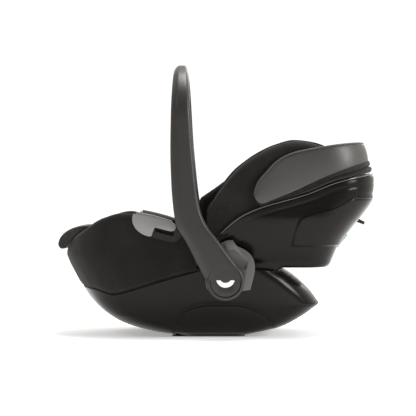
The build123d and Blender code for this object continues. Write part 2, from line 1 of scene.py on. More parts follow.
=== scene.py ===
# Infant car seat: moulded shells, padded covers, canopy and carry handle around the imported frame.
import json
import math
import bmesh
import bpy
import numpy as np
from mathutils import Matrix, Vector, noise


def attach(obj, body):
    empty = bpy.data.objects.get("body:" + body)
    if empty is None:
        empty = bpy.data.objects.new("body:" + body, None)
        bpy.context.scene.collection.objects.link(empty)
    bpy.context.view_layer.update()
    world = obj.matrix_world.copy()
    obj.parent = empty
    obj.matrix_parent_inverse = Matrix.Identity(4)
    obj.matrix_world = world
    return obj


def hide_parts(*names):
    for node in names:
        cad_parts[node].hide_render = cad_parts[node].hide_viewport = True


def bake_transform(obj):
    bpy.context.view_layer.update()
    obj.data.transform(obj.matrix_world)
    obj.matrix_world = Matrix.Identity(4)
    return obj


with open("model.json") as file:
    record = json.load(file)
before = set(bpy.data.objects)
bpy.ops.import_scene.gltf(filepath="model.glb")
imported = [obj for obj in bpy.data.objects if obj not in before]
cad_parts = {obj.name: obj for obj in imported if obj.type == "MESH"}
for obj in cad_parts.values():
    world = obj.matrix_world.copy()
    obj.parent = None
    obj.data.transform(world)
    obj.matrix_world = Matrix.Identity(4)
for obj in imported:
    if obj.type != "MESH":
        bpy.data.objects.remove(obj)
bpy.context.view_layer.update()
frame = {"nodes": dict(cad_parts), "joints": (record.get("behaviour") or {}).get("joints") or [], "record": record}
nodes = frame["nodes"]
joints = {j["name"]: j for j in frame["joints"]}
mm = 0.001
hubX = joints["handle_swing"]["pos_m"][0] / mm
hubZ = joints["handle_swing"]["pos_m"][2] / mm
pivotX = joints["canopy_unfold"]["pos_m"][0] / mm
pivotZ = joints["canopy_unfold"]["pos_m"][2] / mm
print("stage: frame loaded,", len(nodes), "nodes")


# curves and meshes
def profile(points):  # a smooth line through (x, y) points that never overshoots them
    points = sorted(points)
    xs = np.array([p[0] for p in points], float)
    ys = np.array([p[1] for p in points], float)
    step = np.diff(xs)
    rise = np.diff(ys) / step
    slope = np.concatenate([[rise[0]], np.zeros(len(xs) - 2), [rise[-1]]])
    for i in range(1, len(xs) - 1):
        if rise[i - 1] * rise[i] > 0:
            slope[i] = 2 * rise[i - 1] * rise[i] / (rise[i - 1] + rise[i])

    def at(x):
        x = min(max(x, xs[0]), xs[-1])
        i = min(int(np.searchsorted(xs, x, side="right")) - 1, len(step) - 1)
        t = (x - xs[i]) / step[i]
        low = ys[i] + slope[i] * step[i] * t
        bend = (3 * rise[i] - 2 * slope[i] - slope[i + 1]) * step[i] * t * t
        twist = (slope[i] + slope[i + 1] - 2 * rise[i]) * step[i] * t ** 3
        return low + bend + twist
    return at


def ease(low, high, x):  # 0 below low, 1 above high, smooth between
    t = min(max((x - low) / (high - low), 0.0), 1.0)
    return t * t * (3 - 2 * t)


def settled(low, high, target):  # the z where target(z) and z meet
    for _ in range(26):
        middle = (low + high) / 2
        if target(middle) > middle:
            low = middle
        else:
            high = middle
    return (low + high) / 2


def spread(a, b, count):
    return [a + (b - a) * i / (count - 1) for i in range(count)]


def spans(row, count):  # rows that cross a mirrored loop from one side to the other
    half = len(row) // 2
    lines = []
    for i in range(half + 1):
        a = Vector(row[i])
        b = Vector(row[len(row) - 1 - i])
        lines.append([tuple(a.lerp(b, t)) for t in spread(0, 1, count)])
    return lines


def makePiece(name, grids, merge=0.02):  # grids: (rows of points in mm, wrap columns, wrap rows)
    bm = bmesh.new()
    for rows, wrapCols, wrapRows in grids:
        verts = [[bm.verts.new([c * mm for c in p]) for p in row] for row in rows]
        columns = len(rows[0])
        for i in range(len(rows) - (0 if wrapRows else 1)):
            a = verts[i]
            b = verts[(i + 1) % len(rows)]
            for j in range(columns - (0 if wrapCols else 1)):
                k = (j + 1) % columns
                bm.faces.new((a[j], a[k], b[k], b[j]))
    bmesh.ops.remove_doubles(bm, verts=bm.verts, dist=merge * mm)
    bmesh.ops.dissolve_degenerate(bm, edges=bm.edges, dist=merge * mm * 0.5)
    return fromBmesh(name, bm)


def fromBmesh(name, bm):
    bmesh.ops.recalc_face_normals(bm, faces=bm.faces)
    middle = sum((v.co for v in bm.verts), Vector()) / len(bm.verts)
    outward = sum(f.normal.dot(f.calc_center_median() - middle) * f.calc_area() for f in bm.faces)
    if outward < 0:
        bmesh.ops.reverse_faces(bm, faces=bm.faces)
    mesh = bpy.data.meshes.new(name)
    bm.to_mesh(mesh)
    bm.free()
    mesh.shade_smooth()
    piece = bpy.data.objects.new(name, mesh)
    bpy.context.scene.collection.objects.link(piece)
    return piece


def bake(piece):  # turns the modifiers into mesh
    graph = bpy.context.evaluated_depsgraph_get()
    mesh = bpy.data.meshes.new_from_object(piece.evaluated_get(graph))
    piece.modifiers.clear()
    piece.data = mesh
    return piece


def thicken(piece, thickness):
    wall = piece.modifiers.new("wall", "SOLIDIFY")
    wall.thickness = thickness * mm
    wall.offset = -1
    return bake(piece)


def roundEdges(piece, width, angle=32, segments=2):
    edge = piece.modifiers.new("edge", "BEVEL")
    edge.width = width * mm
    edge.segments = segments
    edge.limit_method = "ANGLE"
    edge.angle_limit = math.radians(angle)
    edge.harden_normals = False
    return bake(piece)


def subdivide(piece, levels=1):
    smooth = piece.modifiers.new("smooth", "SUBSURF")
    smooth.levels = levels
    smooth.render_levels = levels
    return bake(piece)


def joined(name, parts):  # several loose pieces as one object
    bm = bmesh.new()
    for part in parts:
        bm.from_mesh(part.data)
        bpy.data.objects.remove(part)
    mesh = bpy.data.meshes.new(name)
    bm.to_mesh(mesh)
    bm.free()
    mesh.shade_smooth()
    piece = bpy.data.objects.new(name, mesh)
    bpy.context.scene.collection.objects.link(piece)
    return piece


def tube(name, points, radius, closed=False, resolution=3):
    curve = bpy.data.curves.new(name, "CURVE")
    curve.dimensions = "3D"
    curve.bevel_depth = radius * mm
    curve.bevel_resolution = resolution
    curve.use_fill_caps = True
    line = curve.splines.new("POLY")
    line.points.add(len(points) - 1)
    for knot, p in zip(line.points, points):
        knot.co = (p[0] * mm, p[1] * mm, p[2] * mm, 1)
    line.use_cyclic_u = closed
    holder = bpy.data.objects.new(name, curve)
    bpy.context.scene.collection.objects.link(holder)
    graph = bpy.context.evaluated_depsgraph_get()
    mesh = bpy.data.meshes.new_from_object(holder.evaluated_get(graph))
    bpy.data.objects.remove(holder)
    mesh.shade_smooth()
    piece = bpy.data.objects.new(name, mesh)
    bpy.context.scene.collection.objects.link(piece)
    return piece


def evenly(points, gap):  # points a fixed distance apart along a line, with the way it runs
    out = []
    left = 0.0
    for a, b in zip(points, points[1:]):
        a = Vector(a)
        b = Vector(b)
        length = (b - a).length
        while left < length:
            out.append((a.lerp(b, left / length), (b - a).normalized()))
            left += gap
        left -= length
    return out


stitchSize = {"gap": 4.6, "length": 3.2, "thick": 0.75}


def stitches(name, points):  # a row of thread stitches along a line
    bm = bmesh.new()
    for place, way in evenly(points, stitchSize["gap"]):
        made = bmesh.ops.create_uvsphere(bm, u_segments=8, v_segments=5, radius=0.5 * mm)
        turn = way.to_track_quat("X", "Z").to_matrix()
        for v in made["verts"]:
            local = Vector((v.co.x * stitchSize["length"], v.co.y * stitchSize["thick"],
                            v.co.z * stitchSize["thick"]))
            v.co = turn @ local + place * mm
    return fromBmesh(name, bm)


def settle(piece, body, material, replaced=()):
    piece.data.materials.clear()
    piece.data.materials.append(material)
    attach(piece, body)
    if replaced:
        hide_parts(*replaced)
    return piece


# materials
def startMaterial(name):
    material = bpy.data.materials.new(name)
    material.use_nodes = True
    tree = material.node_tree
    return material, tree, tree.nodes["Principled BSDF"]


def addNode(tree, kind, inputs=(), **settings):
    node = tree.nodes.new(kind)
    for key, value in settings.items():
        setattr(node, key, value)
    for key, value in dict(inputs).items():
        if hasattr(value, "is_output"):
            tree.links.new(value, node.inputs[key])
        else:
            node.inputs[key].default_value = value
    return node


def objectPlace(tree):
    return tree.nodes.new("ShaderNodeTexCoord").outputs["Object"]


def rgba(colour):
    return (*colour, 1.0)


def toRange(tree, value, low, high):
    node = addNode(tree, "ShaderNodeMapRange", {"Value": value, "To Min": low, "To Max": high})
    return node.outputs["Result"]


def tinted(tree, value, dark, light):
    node = addNode(tree, "ShaderNodeMix", {0: value}, data_type="RGBA")
    node.inputs[6].default_value = rgba(dark)
    node.inputs[7].default_value = rgba(light)
    return node.outputs[2]


def bumped(tree, shader, height, strength, distance):
    node = addNode(tree, "ShaderNodeBump",
                   {"Height": height, "Strength": strength, "Distance": distance * mm})
    tree.links.new(node.outputs["Normal"], shader.inputs["Normal"])


def mouldedPlastic(name, dark, light, rough, coat=0.0, grain=0.25, grainScale=900, shine=0.5):
    material, tree, shader = startMaterial(name)
    place = objectPlace(tree)
    cloud = addNode(tree, "ShaderNodeTexNoise", {"Vector": place, "Scale": 9.0, "Detail": 5.0})
    fine = addNode(tree, "ShaderNodeTexNoise",
                   {"Vector": place, "Scale": float(grainScale), "Detail": 2.0})
    handled = addNode(tree, "ShaderNodeTexNoise", {"Vector": place, "Scale": 42.0, "Detail": 8.0})
    tree.links.new(tinted(tree, cloud.outputs["Fac"], dark, light), shader.inputs["Base Color"])
    tree.links.new(toRange(tree, handled.outputs["Fac"], rough * 0.82, rough * 1.22),
                   shader.inputs["Roughness"])
    shader.inputs["Coat Weight"].default_value = coat
    shader.inputs["Coat Roughness"].default_value = 0.16
    shader.inputs["Specular IOR Level"].default_value = shine
    bumped(tree, shader, fine.outputs["Fac"], grain, 0.12)
    return material


def wovenFabric(name, dark, light, thread, sheen, ribs=False):
    material, tree, shader = startMaterial(name)
    place = objectPlace(tree)
    lines = []
    for axis in ("X", "Z"):
        wave = addNode(tree, "ShaderNodeTexWave",
                       {"Vector": place, "Scale": thread, "Distortion": 0.6, "Detail": 1.0,
                        "Detail Scale": 3.0}, bands_direction=axis)
        lines.append(wave.outputs["Fac"])
    across = addNode(tree, "ShaderNodeTexWave",
                     {"Vector": place, "Scale": thread, "Distortion": 0.6, "Detail": 1.0},
                     bands_direction="Y" if not ribs else "DIAGONAL")
    pair = addNode(tree, "ShaderNodeMath", {0: lines[0], 1: lines[1]}, operation="MULTIPLY")
    weave = addNode(tree, "ShaderNodeMath", {0: pair.outputs[0], 1: across.outputs["Fac"]},
                    operation="ADD")
    cloud = addNode(tree, "ShaderNodeTexNoise", {"Vector": place, "Scale": 14.0, "Detail": 6.0})
    fuzz = addNode(tree, "ShaderNodeTexNoise", {"Vector": place, "Scale": 260.0, "Detail": 3.0})
    shade = addNode(tree, "ShaderNodeMath", {0: cloud.outputs["Fac"], 1: fuzz.outputs["Fac"]},
                    operation="MULTIPLY")
    mottle = toRange(tree, shade.outputs[0], -0.6, 2.4)
    tree.links.new(tinted(tree, mottle, dark, light), shader.inputs["Base Color"])
    tree.links.new(toRange(tree, fuzz.outputs["Fac"], 0.78, 0.98), shader.inputs["Roughness"])
    shader.inputs["Sheen Weight"].default_value = sheen
    shader.inputs["Sheen Roughness"].default_value = 0.45
    shader.inputs["Specular IOR Level"].default_value = 0.28
    bumped(tree, shader, weave.outputs[0], 0.35, 0.25)
    return material


def leatherette(name, dark, light):
    material, tree, shader = startMaterial(name)
    place = objectPlace(tree)
    cells = addNode(tree, "ShaderNodeTexVoronoi", {"Vector": place, "Scale": 520.0})
    cells.feature = "DISTANCE_TO_EDGE"
    wrinkle = addNode(tree, "ShaderNodeTexNoise", {"Vector": place, "Scale": 130.0, "Detail": 6.0})
    cloud = addNode(tree, "ShaderNodeTexNoise", {"Vector": place, "Scale": 7.0, "Detail": 4.0})
    grain = addNode(tree, "ShaderNodeMath", {0: cells.outputs["Distance"],
                                             1: wrinkle.outputs["Fac"]}, operation="ADD")
    tree.links.new(tinted(tree, cloud.outputs["Fac"], dark, light), shader.inputs["Base Color"])
    tree.links.new(toRange(tree, wrinkle.outputs["Fac"], 0.36, 0.52), shader.inputs["Roughness"])
    shader.inputs["Specular IOR Level"].default_value = 0.5
    bumped(tree, shader, grain.outputs[0], 0.22, 0.18)
    return material


def metal(name, colour, rough):
    material, tree, shader = startMaterial(name)
    place = objectPlace(tree)
    brush = addNode(tree, "ShaderNodeTexNoise", {"Vector": place, "Scale": 240.0, "Detail": 4.0})
    tree.links.new(tinted(tree, brush.outputs["Fac"], [c * 0.75 for c in colour], colour),
                   shader.inputs["Base Color"])
    tree.links.new(toRange(tree, brush.outputs["Fac"], rough * 0.8, rough * 1.3),
                   shader.inputs["Roughness"])
    shader.inputs["Metallic"].default_value = 1.0
    return material


finishes = {
    "hull_plastic": mouldedPlastic("hullPlastic", (0.0044, 0.0036, 0.0029), (0.0078, 0.0065, 0.0054),
                                   0.22, coat=0.05, grain=0.015, grainScale=620, shine=0.12),
    "handle_plastic": mouldedPlastic("handlePlastic", (0.019, 0.0172, 0.0158),
                                     (0.026, 0.0236, 0.0218), 0.40, grain=0.06, shine=0.4),
    "dark_plastic": mouldedPlastic("darkPlastic", (0.007, 0.0062, 0.0056), (0.012, 0.0108, 0.01),
                                   0.42, grain=0.1, shine=0.3),
    "grey_plastic": mouldedPlastic("greyPlastic", (0.185, 0.18, 0.176), (0.24, 0.234, 0.23),
                                   0.36, grain=0.06),
    "mid_grey_plastic": mouldedPlastic("midGreyPlastic", (0.062, 0.0585, 0.056), (0.092, 0.087, 0.084),
                                       0.36, grain=0.06),
    "green_plastic": mouldedPlastic("greenPlastic", (0.018, 0.30, 0.135), (0.03, 0.38, 0.19),
                                    0.32, coat=0.2, grain=0.06),
    "red_plastic": mouldedPlastic("redPlastic", (0.5, 0.012, 0.014), (0.62, 0.02, 0.022),
                                  0.3, coat=0.3, grain=0.05),
    "white_plastic": mouldedPlastic("whitePrint", (0.74, 0.74, 0.74), (0.84, 0.84, 0.84),
                                    0.5, grain=0.04),
    "rubber": mouldedPlastic("softRubber", (0.009, 0.0086, 0.0082), (0.018, 0.0172, 0.0166),
                             0.72, grain=0.4, grainScale=420, shine=0.25),
    "steel": metal("platedSteel", (0.62, 0.62, 0.64), 0.28),
    "cover_fabric": wovenFabric("coverFabric", (0.0042, 0.0037, 0.0033), (0.0145, 0.0126, 0.0112),
                                230.0, 0.10),
    "canopy_fabric": wovenFabric("canopyFabric", (0.0042, 0.0038, 0.0035), (0.014, 0.0125, 0.0113),
                                 300.0, 0.08),
    "foam": wovenFabric("wingFabric", (0.005, 0.0043, 0.0039), (0.0175, 0.0152, 0.0136),
                        230.0, 0.10),
    "webbing": wovenFabric("webbing", (0.014, 0.013, 0.0124), (0.034, 0.032, 0.0305),
                           330.0, 0.14, ribs=True),
    "leatherette": leatherette("leatherette", (0.032, 0.0295, 0.0275), (0.047, 0.0435, 0.041)),
}
rimPlastic = mouldedPlastic("rimPlastic", (0.010, 0.009, 0.008), (0.016, 0.0146, 0.0134), 0.2, coat=0.6,
                            grain=0.01)
rollFabric = wovenFabric("rollFabric", (0.026, 0.0235, 0.0218), (0.062, 0.057, 0.053), 210.0, 0.16)
thread = mouldedPlastic("thread", (0.03, 0.03, 0.03), (0.05, 0.05, 0.05), 0.7)
slotOf = {s["node"]: s["material_slot"] for s in frame["record"]["subparts"]}
for nodeName, cadPart in nodes.items():
    cadPart.data.materials.clear()
    cadPart.data.materials.append(finishes[slotOf[nodeName]])
print("stage: materials made")


# the rocking hull
hullShape = {
    "nose": [(2, -100), (8.5, -150), (34, -225), (80, -280), (135, -312), (175, -331)],
    "stern": [(2, 60), (19, 138), (42, 184), (70, 223)],
    "transom": [(70, 223), (101, 199), (127, 170), (147, 138)],
    "side": [(2, 114), (12, 128), (38, 147), (95, 166), (160, 176), (300, 180)],
    "seam": [(-345, 110), (-262, 102), (-224, 93), (-190, 101), (-120, 123), (-60, 141),
             (-20, 150), (138, 147)],
    "recess": [(-97, 4), (-93, 26), (-80, 55), (-56, 72), (-16, 79), (40, 78.5), (76, 68),
               (104, 46), (126, 16)],
    "recessDepth": 3.0, "recessFrom": -97, "recessTo": 127,
    "panelInset": 7.0, "panelFoot": 7.0, "underside": 2.0, "wall": 3.6,
}
noseX = profile(hullShape["nose"])
sternLow = profile(hullShape["stern"])
sternHigh = profile(hullShape["transom"])
sideY = profile(hullShape["side"])
seamZ = profile(hullShape["seam"])
recessZ = profile(hullShape["recess"])
bowRound = 2.25
sternCentre = 30.0
sternRound = 4.2


def bowCentre(z):  # where the straight side starts to round in towards the nose
    return min(max(noseX(min(z, 175)) + 95.0, -150.0), -40.0)


def sternX(z):
    return sternLow(z) if z < 70 else sternHigh(z)


def hullPoint(turn, z, inset=0.0):  # turn 0 is the stern, 0.5 the nose; -Y side first
    half = sideY(z) - inset
    part = turn * 4 % 4
    sign = -1 if turn < 0.5 else 1
    if part > 2:
        part = 4 - part
    if part < 0.8:  # round the stern
        a = part / 0.8 * math.pi / 2
        reach = sternX(z) - inset - sternCentre
        x = sternCentre + reach * math.cos(a) ** (2 / sternRound)
        return (x, sign * half * math.sin(a) ** (2 / sternRound), z)
    if part < 1.2:  # along the side
        x = sternCentre + (bowCentre(z) - sternCentre) * (part - 0.8) / 0.4
        return (x, sign * half, z)
    a = (2 - part) / 0.8 * math.pi / 2
    reach = bowCentre(z) - noseX(min(z, 175)) - inset
    x = bowCentre(z) - reach * math.cos(a) ** (2 / bowRound)
    return (x, sign * half * math.sin(a) ** (2 / bowRound), z)


def hullHalf(x, z):  # half width of the hull skin at a place on its flank
    half = sideY(z)
    if x > sternCentre:
        part = min((x - sternCentre) / (sternX(z) - sternCentre), 1)
        return half * (1 - part ** sternRound) ** (1 / sternRound)
    bow = bowCentre(z)
    if x < bow:
        part = min((bow - x) / (bow - noseX(min(z, 175))), 1)
        return half * (1 - part ** bowRound) ** (1 / bowRound)
    return half


def topOfHull(turn):
    return settled(60.0, 170.0, lambda z: seamZ(hullPoint(turn, z)[0]))


def recessed(x, y, z):
    inside = min(recessZ(x) - z, (x - hullShape["recessFrom"]) * 1.2,
                 (hullShape["recessTo"] - x) * 0.9)
    deep = hullShape["recessDepth"] * ease(0, 4.0, inside)
    return (x, y - math.copysign(deep, y) * ease(60, 100, abs(y)), z)


def makeHull():
    underside = hullShape["underside"]
    wall = hullShape["wall"]
    rows = []
    turns = spread(0, 1, 321)[:-1]
    tops = [topOfHull(t) for t in turns]
    for t in spread(0, 1, 58):
        level = 1 - (1 - t) ** 1.5
        row = []
        for turn, top in zip(turns, tops):
            z = top + (underside - top) * level
            row.append(recessed(*hullPoint(turn, z)))
        rows.append(row)
    loop = rows[-1] + [rows[-1][0]]
    hull = makePiece("hull", [(rows, True, False), (spans(loop, 24), False, False)], merge=0.3)
    thicken(hull, wall)
    for v in hull.data.vertices:
        if v.co.z < (underside - 0.1) * mm:  # a few inner corners of the flat underside turn outward
            v.co.z = (underside + wall) * mm
    return settle(hull, "base", finishes["hull_plastic"], ["base_shell"])


def makeSidePanel(sign, nodeName):
    inset = hullShape["panelInset"]
    foot = hullShape["panelFoot"]
    start = hullShape["recessFrom"]
    length = hullShape["recessTo"] - start
    rows = []
    edge = [(-0.0, 2.8), (0.012, 0.9), (0.03, 0.2)]
    steps = [e[0] for e in edge] + spread(0.06, 0.94, 30) + [1 - e[0] for e in edge[::-1]]
    for u in steps:
        x = start + inset + u * (length - 2 * inset)
        top = recessZ(x) - inset
        row = []
        for v in steps:
            z = foot + v * (top - foot)
            rim = min(u, 1 - u) * 205, min(v, 1 - v) * max(top - foot, 1)
            drop = 2.0 * (1 - ease(0, 4.0, min(rim)))
            row.append((x, sign * (hullHalf(x, z) - 1.0 - drop), z))
        rows.append(row)
    panel = makePiece("sidePanel" + ("Right" if sign < 0 else "Left"), [(rows, False, False)])
    return settle(panel, "base", finishes["hull_plastic"], [nodeName])


makeHull()
makeSidePanel(-1, "side_panel_right")
makeSidePanel(1, "side_panel_left")
print("stage: hull")


# the padded leg cover
coverShape = {
    "crest": [(-331, 186), (-318, 203), (-288, 228), (-242, 257), (-202, 267), (-178, 265),
              (-88, 243), (-72, 228), (-60, 208), (-51, 184), (-46, 162), (-43, 148)],
    "roll": 11.0, "puff": 2.4, "floor": 100.0,
}
coverCrest = profile(coverShape["crest"])


def makeLegCover():
    roll = coverShape["roll"]
    last = 0.2 + 0.1 * (sternCentre - -45.0) / (sternCentre - bowCentre(170))
    turns = spread(last, 1 - last, 241)
    columns = []
    for turn in turns:
        x = hullPoint(turn, 190, roll)[0]
        crest = coverCrest(x)
        seam = topOfHull(turn)
        shoulder = max(crest - roll * 1.15, seam + 0.5)
        column = []
        for v in [0, 0.02, 0.05] + spread(0.1, 1, 16):
            z = seam + (shoulder - seam) * v
            crown = coverShape["puff"] * math.sin(math.pi * min(v * 1.02, 1)) ** 0.6
            tuck = 3.2 * (1 - ease(0, 0.07, v))
            column.append(hullPoint(turn, z, tuck - crown))
        for step in range(1, 10):
            a = math.pi * step / 10
            z = shoulder + (crest - shoulder) * math.sin(a)
            column.append(hullPoint(turn, z, roll * (1 - math.cos(a))))
        inner = max(min(coverShape["floor"], shoulder - 3), 96)
        for v in spread(0, 1, 9):
            z = shoulder + (inner - shoulder) * v
            crown = 2.0 * math.sin(math.pi * v)
            column.append(hullPoint(turn, z, 2 * roll + crown))
        columns.append(column)
    cover = makePiece("legCover", [(columns, True, False)], merge=0.05)
    wrinkle(cover, 0.9, 26)
    settle(cover, "base", finishes["cover_fabric"], ["leg_cover"])
    seam = [(x, y * 1.003, z + 7) for x, y, z in (hullPoint(t, topOfHull(t), -1.6) for t in turns[6:-6])]
    return settle(stitches("coverStitches", seam), "base", thread)


def wrinkle(piece, depth, size):  # shallow uneven swells, as in cloth over foam
    mesh = piece.data
    offsets = []
    for v in mesh.vertices:
        swell = noise.noise(v.co / (size * mm)) + 0.5 * noise.noise(v.co / (size * mm * 0.45))
        offsets.append(v.normal * swell * depth * mm)
    for v, offset in zip(mesh.vertices, offsets):
        v.co += offset
    mesh.update()
    return piece


makeLegCover()
print("stage: leg cover")


# the back shell
shellShape = {
    "rear": [(85, 200), (150, 238), (204, 260), (232, 280), (263, 306), (293, 327), (322, 337),
             (338, 338.5), (346, 337), (351, 333.5), (356, 328)],
    "side": [(80, 153), (156, 153), (178, 163), (205, 175), (230, 183), (262, 188), (360, 188)],
    "top": [(-28, 150), (-12, 200), (15, 232), (32, 247), (58, 264), (94, 279), (184, 305),
            (254, 332), (305, 344), (338, 351)],
    "panelEdge": [(196, 153), (212, 156), (254, 168), (258, 174), (275, 234), (305, 300),
                  (309, 314)],
    "corner": [(80, 30), (150, 45), (200, 62), (250, 80), (340, 108)],
}
rearX = profile(shellShape["rear"])
shellY = profile(shellShape["side"])
shellTop = profile(shellShape["top"])
panelFront = profile(shellShape["panelEdge"])
shellCorner = profile(shellShape["corner"])


def headLoop(half, end, corner, front, counts=(44, 26, 26)):  # a U from -Y round the head end
    sides = spread(front, end - corner, counts[0])
    half0 = [(x, -half, 0.0, -1.0) for x in sides]
    for a in spread(0, math.pi / 2, counts[1])[1:]:
        half0.append((end - corner + corner * math.sin(a), corner - half - corner * math.cos(a),
                      math.sin(a), -math.cos(a)))
    for y in spread(corner - half, 0, counts[2] // 2)[1:]:
        half0.append((end, y, 1.0, 0.0))
    return half0 + [(x, -y, nx, -ny) for x, y, nx, ny in half0[-2::-1]]


def shellBottom(x):
    if x < 36.6:
        return hubZ - math.sqrt(max(45.0 ** 2 - (x - hubX) ** 2, 100))
    return 85.3 + (x - 36.6) * 0.656 if x < 136 else 150.5


def shellPoint(i, z, offset=0.0):
    loop = headLoop(shellY(z), rearX(z), shellCorner(z), -28.0)
    x, y, nx, ny = loop[i]
    return (x + nx * offset, y + ny * offset, z)


def makeBackShell():
    count = len(headLoop(100, 300, 50, 0))
    columns = []
    rim = []
    for i in range(count):
        top = settled(140.0, 356.0, lambda z: shellTop(shellPoint(i, z)[0]))
        low = settled(79.0, 158.0, lambda z: shellBottom(shellPoint(i, z)[0]))
        column = []
        for v in spread(0, 1, 44):
            z = top + (low + 9 - top) * v
            # a shallow line runs under the rim, and the flank swells a little below it
            line = 0.9 * math.exp(-((top - z - 17) / 1.6) ** 2)
            swell = 1.6 * ease(17, 60, top - z) * ease(0, 60, z - low)
            column.append(shellPoint(i, z, swell - line))
        for step in (1, 2, 3):
            a = step / 3 * math.pi / 2
            column.append(shellPoint(i, low + 9 * (1 - math.sin(a)), -9 * (1 - math.cos(a))))
        rim.append(column[0])
        columns.append(column)
    belly = spans([c[-1] for c in columns], 18)
    shell = makePiece("backShell", [(columns, False, False), (belly, False, False)], merge=0.05)
    thicken(shell, 3.6)
    settle(shell, "backrest", finishes["hull_plastic"], ["back_shell"])
    bead = [(x + (2 if abs(y) < 80 else 0), y * 1.003, z + 1.2) for x, y, z in rim]
    trim = tube("rimTrim", bead, 2.0)
    return settle(trim, "backrest", rimPlastic, ["rim_trim"])


def cutLoop(points, front, count):  # the part of a loop beyond x = front, evenly spaced
    kept = []
    for a, b in zip(points, points[1:]):
        if (a[0] < front) != (b[0] < front):
            kept.append(tuple(Vector(a).lerp(Vector(b), (front - a[0]) / (b[0] - a[0]))))
        if b[0] >= front:
            kept.append(b)
    length = np.concatenate([[0], np.cumsum([(Vector(b) - Vector(a)).length
                                             for a, b in zip(kept, kept[1:])])])
    where = np.linspace(0, length[-1], count)
    return [tuple(np.interp(w, length, [k[axis] for k in kept]) for axis in range(3)) for w in where]


coverPanel = {"lift": 5.4, "chamfer": 9.5}


def makeRearCover():
    lift = coverPanel["lift"]
    chamfer = coverPanel["chamfer"]
    count = len(headLoop(100, 300, 50, 0))
    rows = []
    levels = [196.0, 196.4, 197.5, 199] + spread(202, 296, 36) + spread(297.5, 309, 16)
    for z in levels:
        slope = ease(0, 1, (309 - z) / chamfer) * 0.3 + min((309 - z) / chamfer, 1) * 0.7
        height = 0.4 + (lift - 0.4) * slope * ease(-0.6, 3.0, z - 196)
        height -= 0.8 * math.exp(-((309 - z - chamfer - 2.2) / 1.0) ** 2)
        loop = [shellPoint(i, z, height) for i in range(count)]
        row = cutLoop(loop, panelFront(z), 170)
        base = cutLoop([shellPoint(i, z, -1.5) for i in range(count)], panelFront(z) - 0.5, 170)
        for k, share in ((0, 0.0), (1, 0.55), (2, 0.92)):
            for j in (k, -1 - k):
                row[j] = tuple(Vector(base[j]).lerp(Vector(row[j]), share))
        rows.append(row)
    rows.insert(0, [(x, y * 0.97, z) for x, y, z in rows[0]])
    rows.append([(x - 2, y * 0.98, z) for x, y, z in rows[-1]])
    cover = makePiece("rearCover", [(rows, False, False)], merge=0.05)
    return settle(cover, "backrest", finishes["hull_plastic"], ["rear_cover"])


makeBackShell()
makeRearCover()
print("stage: back shell")


# the padded side and head wings
wingShape = {
    "crest": [(-24, 265), (-23, 271), (-6, 299), (11, 325), (28, 347), (46, 366), (82, 392), (120, 410),
              (161, 420), (204, 415), (250, 400), (300, 372), (312, 362)],
    "foot": [(-24, 214), (-8, 205), (12, 214), (34, 232), (58, 246), (94, 264), (184, 290),
             (254, 318), (312, 334)],
    "half": 179.5, "end": 312.0, "corner": 116.0, "thick": 35.0,
}
wingCrest = profile(wingShape["crest"])
wingFoot = profile(wingShape["foot"])


def makeWings():
    thick = wingShape["thick"]
    columns = []
    piping = []
    for x, y, nx, ny in headLoop(wingShape["half"], wingShape["end"], wingShape["corner"], -23.0,
                                 (70, 30, 30)):
        crest = wingCrest(x)
        foot = min(wingFoot(x), crest - 2)
        narrow = ease(0, 70, x + 23)
        wide = thick * (0.35 + 0.65 * narrow)
        shoulder = max(crest - wide * 0.62, foot)
        column = []
        for v in spread(0, 1, 16):
            z = foot + (shoulder - foot) * v
            swell = 2.0 * math.sin(math.pi * v) * narrow
            column.append((x + nx * swell, y + ny * swell, z))
        for step in range(1, 16):
            a = math.pi * step / 16
            inset = wide * (1 - math.cos(a)) / 2
            z = shoulder + (crest - shoulder) * math.sin(a) ** 0.8
            column.append((x - nx * inset, y - ny * inset, z))
        for v in spread(0, 1, 10):
            z = shoulder + (max(foot, 200) - shoulder) * v
            swell = 3.0 * math.sin(math.pi * v) * narrow
            column.append((x - nx * (wide + swell), y - ny * (wide + swell), z))
        piping.append((x - nx * wide * 0.5, y - ny * wide * 0.5, crest + 0.6))
        columns.append(column)
    wings = makePiece("wings", [(columns, True, False)], merge=0.05)
    wrinkle(wings, 1.1, 34)
    settle(wings, "backrest", finishes["foam"], ["wing_cover"])
    return settle(tube("wingPiping", piping, 1.7), "backrest", finishes["cover_fabric"])


makeWings()
print("stage: wings")


# the canopy; clothCut only matches the area of the panel as modelled and is not a real cut,
# which would be far longer (about 0.11 square metres)
canopyShape = {
    "clothCut": (0.72, 0.0165), "tilt": 14.5, "half": 190.0, "reach": 240.0, "corner": 100.0,
    "top": [(76.5, 303), (77.5, 314), (87, 336), (99, 350), (124, 376), (140, 386), (164, 395),
            (232, 408), (288, 415), (321, 417)],
    "low": [(76.5, 303), (80, 294), (86, 288), (96, 285.5), (110, 290.5), (143, 303.5), (166, 313),
            (227, 340), (274, 359), (331, 379)],
    "rim": [(80, 283), (94, 284), (184, 310), (254, 337), (310, 350), (346, 357)],
}
leanCos = math.cos(math.radians(canopyShape["tilt"]))
leanSin = math.sin(math.radians(canopyShape["tilt"]))


def leaned(points):  # row frame X, Z to distance along and height over the canopy's own plane
    return [((x - pivotX) * leanCos + (z - pivotZ) * leanSin,
             (z - pivotZ) * leanCos - (x - pivotX) * leanSin) for x, z in points]


def upright(u, y, h):
    return (pivotX + u * leanCos - h * leanSin, y, pivotZ + u * leanSin + h * leanCos)


visorTop = profile(leaned(canopyShape["top"]))
visorLow = profile(leaned(canopyShape["low"]))
rimLine = profile(leaned(canopyShape["rim"]))
visorStart = leaned(canopyShape["top"])[0][0]


